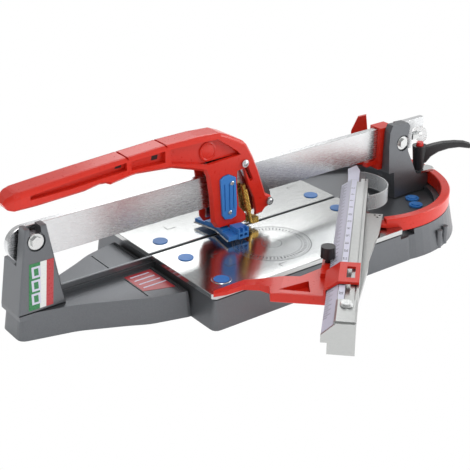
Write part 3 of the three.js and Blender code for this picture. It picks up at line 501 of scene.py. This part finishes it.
# Each mark: its place along, how far it lies from the rail, and which way its short leg turns.
table_marks = ((-0.08, 0.045, 1), (-0.08, 0.08, -1), (0.07, 0.1, 1), (0.12, 0.06, -1), (-0.03, 0.11, 1))
for side, body in ((-1, "table_front_unit"), (1, "table_rear_unit")):
    mesh = bmesh.new()
    for x, y, turn in table_marks:
        low = side * y
        high = low + line_wide
        tip = low + mark_short * turn * side + line_wide
        plate(mesh, [(x, low), (x + mark_long, low), (x + mark_long, high), (x, high)], table_top, paint_top)
        plate(mesh, [(x, high), (x + line_wide, high), (x + line_wide, tip), (x, tip)], table_top, paint_top)
    settle("table_marks_" + ("front" if side < 0 else "rear"), mesh, mark_paint, body)

# ---- Scale on the fence: a line each 5 mm down its sloping face, longer each centimetre, and numbers above.
# Printed in near-black ink, the lines on the sloping face and a number each 2 cm on the flat white strip.
# The fence's own frame: X runs out along the bar from the swivel centre, and the bar's face is towards -Y.
fence_frame = Matrix.Translation((0.188, 0, 0)) @ Matrix.Rotation(math.radians(-135), 4, "Z")
ink, tree, shader, where = start_finish("printed_ink", {"Base Color": colour("26262e")})
weather(tree, shader, where, stretch=EVEN, per_metre=500.0, rough=(0.35, 0.5), bump=0.02)
slope = math.atan2(9, 12.3)
scale_start, scale_pitch, scale_lines = 0.045, 0.005, 70
line_thick, long_line, short_line = 0.0007, 0.0085, 0.005
line_foot, ink_thick = -0.0002, 0.00008
scale_foot = (0, -0.0162, 0.06558)
mesh = bmesh.new()
for k in range(scale_lines):
    u = scale_start + scale_pitch * k
    long = long_line if k % 2 == 0 else short_line
    line = [(u, line_foot), (u + line_thick, line_foot), (u + line_thick, long), (u, long)]
    plate(mesh, line, 0, ink_thick)
tilt = fence_frame @ Matrix.Translation(scale_foot) @ Matrix.Rotation(slope, 4, "X")
settle("fence_scale_lines", mesh, ink, "fence", tilt)
figure_high, figure_thick = 0.0062, 0.00004
figure_start, figure_pitch = 0.0445, 0.02
for k in range(1, 17):
    text = bpy.data.curves.new("figure", "FONT")
    text.body = str(2 * k)
    text.size = figure_high
    text.extrude = figure_thick
    letters = bpy.data.objects.new("figure", text)
    bpy.context.collection.objects.link(letters)
    flat_mesh = bpy.data.meshes.new_from_object(letters)
    bpy.data.objects.remove(letters)
    number = bpy.data.objects.new("fence_figure_%d" % k, flat_mesh)
    bpy.context.collection.objects.link(number)
    place = Matrix.Translation((figure_start + figure_pitch * k, -0.0028, 0.07442))
    flat_mesh.transform(fence_frame @ place)
    flat_mesh.materials.clear()
    flat_mesh.materials.append(ink)
    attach(number, "fence")

# ---- Coil spring round the scoring arm, which pushes the wheel down.
# Gold coloured wire with a small gap between its turns, standing in the recess of the red head.
lean = math.atan2(9, 38)
coil_radius, wire_radius = 0.0036, 0.0006
coil_foot, coil_length = -0.036, 0.031
coil_top = (-0.008, -0.0126, 0.103)
turns, steps, wire = 15, 14, 10
mesh = bmesh.new()
previous = None
for i in range(turns * steps + 1):
    a = 2 * math.pi * i / steps
    h = coil_foot + coil_length * i / (turns * steps)
    ring = []
    for j in range(wire):
        b = 2 * math.pi * j / wire
        r = coil_radius + wire_radius * math.cos(b)
        ring.append(mesh.verts.new((r * math.cos(a), r * math.sin(a), h + wire_radius * math.sin(b))))
    if previous:
        for j in range(wire):
            mesh.faces.new((previous[j], previous[(j + 1) % wire], ring[(j + 1) % wire], ring[j]))
    else:
        mesh.faces.new(ring)
    previous = ring
mesh.faces.new(previous[::-1])
stand = Matrix.Translation(coil_top) @ Matrix.Rotation(-lean, 4, "Y")
settle("arm_spring", mesh, brass, "scoring_slide", stand)

# ---- Roundel on the handle's side pocket: a plain raised ring and dome, on both sides.
# Part of the casting, so it has the same red enamel.
roundel_along, roundel_out, roundel_up = -0.058, 0.00985, 0.1575
roundel_profile = [
    (0, 0), (0.0115, 0), (0.0115, 0.0016), (0.0098, 0.0022), (0.0088, 0.0014), (0.006, 0.0018), (0, 0.0026),
]
for label, side in (("front", -1), ("rear", 1)):
    mesh = bmesh.new()
    turned(mesh, roundel_profile, 40)
    out = Matrix.Rotation(math.radians(-90 * side), 4, "X")
    facing = Matrix.Translation((roundel_along, side * roundel_out, roundel_up)) @ out
    settle("handle_roundel_" + label, mesh, red_enamel, "handle", facing)

# ---- Painted shade in the handle's front pockets: two dark patches standing in for the shade inside two small openings in the casting.
# Four-sided dark red patches a fifth of a millimetre thick, laid on the pocket's floor; their dark colour is
# painted shade, not a colour of the casting.
shade, tree, shader, where = start_finish("dark_recess", {"Base Color": colour("2a0a0a")})
weather(tree, shader, where, stretch=EVEN, per_metre=400.0, rough=(0.6, 0.8), bump=0.03)
# Each patch of painted shade: from x to x, and from height to height.
painted_shade_patches = ((-0.181, -0.1735, 0.1650, 0.1685), (-0.1345, -0.1265, 0.1640, 0.1690))
shade_patch_lean, shade_patch_thick, pocket_floor = 0.001, 0.0002, -0.01005
facing = Matrix.Translation((0, pocket_floor, 0)) @ face_front
for i, (x0, x1, z0, z1) in enumerate(painted_shade_patches):
    mesh = bmesh.new()
    plate(mesh, [(x0, z0), (x1, z0), (x1 + shade_patch_lean, z1), (x0 + shade_patch_lean, z1)], 0, shade_patch_thick)
    settle("handle_window_%d" % (i + 1), mesh, shade, "handle", facing)

# ---- Floor: a wide white sheet lit until it shows no shadow.
# Not part of the object. It is plain white where it is looked at, and dimmer paper to every other ray.
reach, sheet_low, sheet_top = 6, -0.01, -0.0002
mesh = bmesh.new()
plate(mesh, [(-reach, -reach), (reach, -reach), (reach, reach), (-reach, reach)], sheet_low, sheet_top)
data = bpy.data.meshes.new("floor")
mesh.to_mesh(data)
mesh.free()
floor = bpy.data.objects.new("floor", data)
bpy.context.collection.objects.link(floor)
plain_white = (1.0, 1.0, 1.0, 1.0)
pale, tree, shader, where = start_finish(
    "lit_white_paper",
    {"Base Color": colour("fbfbfb"), "Emission Color": plain_white, "Emission Strength": 0.35},
)
weather(tree, shader, where, stretch=EVEN, per_metre=3.0, rough=(0.85, 0.95), bump=0.0)
path = add(tree, "ShaderNodeLightPath")
seen = add(tree, "ShaderNodeEmission", {"Strength": 1.0})
blend = add(tree, "ShaderNodeMixShader")
tree.links.new(path.outputs["Is Camera Ray"], blend.inputs[0])
tree.links.new(shader.outputs[0], blend.inputs[1])
tree.links.new(seen.outputs[0], blend.inputs[2])
tree.links.new(blend.outputs[0], tree.nodes["Material Output"].inputs["Surface"])
data.materials.append(pale)

# ---- Light: a bright white room with three soft boxes, above the near end, behind and to the right.
# The surroundings are brighter overhead than at the sides, which gives the polished metal its gradient.
world = bpy.data.worlds.new("white_room")
bpy.context.scene.world = world
world.use_nodes = True
tree = world.node_tree
back = tree.nodes["Background"]
where = add(tree, "ShaderNodeTexCoord")
split = add(tree, "ShaderNodeSeparateXYZ")
rising = {"From Min": -0.1, "From Max": 0.9, "To Min": 0.62, "To Max": 0.86}
rightward = {"From Min": -1.0, "From Max": 1.0, "To Min": 0.6, "To Max": 1.15}
spread = add(tree, "ShaderNodeMapRange", rising)
across = add(tree, "ShaderNodeMapRange", rightward)
both = add(tree, "ShaderNodeMath", operation="MULTIPLY")
path = add(tree, "ShaderNodeLightPath")
seen = add(tree, "ShaderNodeMath", operation="MAXIMUM")
tree.links.new(where.outputs["Generated"], split.inputs[0])
tree.links.new(split.outputs["Z"], spread.inputs["Value"])
tree.links.new(split.outputs["X"], across.inputs["Value"])
tree.links.new(spread.outputs["Result"], both.inputs[0])
tree.links.new(across.outputs["Result"], both.inputs[1])
tree.links.new(both.outputs[0], seen.inputs[0])
tree.links.new(path.outputs["Is Camera Ray"], seen.inputs[1])
tree.links.new(seen.outputs[0], back.inputs["Strength"])
back.inputs["Color"].default_value = plain_white
# Each soft box: its name, its place, what it is aimed at, its side in metres and its power in watts.
for name, place, aim, size, power in (
    ("soft_box_high", (-0.7, -1.0, 1.9), (0, 0, 0.05), 0.7, 9),
    ("soft_box_back", (0.9, 1.4, 1.3), (0, 0, 0.05), 0.8, 6),
    ("soft_box_right", (1.7, -0.9, 0.7), (0.1, 0, 0.05), 1.0, 16),
):
    lamp = bpy.data.lights.new(name, "AREA")
    lamp.energy = power
    lamp.size = size
    lit = bpy.data.objects.new(name, lamp)
    bpy.context.collection.objects.link(lit)
    lit.location = place
    lit.rotation_euler = (Vector(aim) - Vector(place)).to_track_quat("-Z", "Y").to_euler()

# ---- Camera: front left, a little above, with a long lens.
# It stands about a metre and a third from the object, so the long sides converge only slightly.
eye = bpy.data.cameras.new("camera")
eye.sensor_width = 36.0
eye.lens = 82.07
eye.clip_start = 0.05
eye.clip_end = 20.0
camera = bpy.data.objects.new("camera", eye)
bpy.context.collection.objects.link(camera)
camera.location = (-0.72425, -0.95533, 0.5936)
camera.rotation_euler = (math.radians(64.87), 0.0, math.radians(-36.76))
bpy.context.scene.camera = camera
bpy.context.scene.view_settings.view_transform = "Standard"
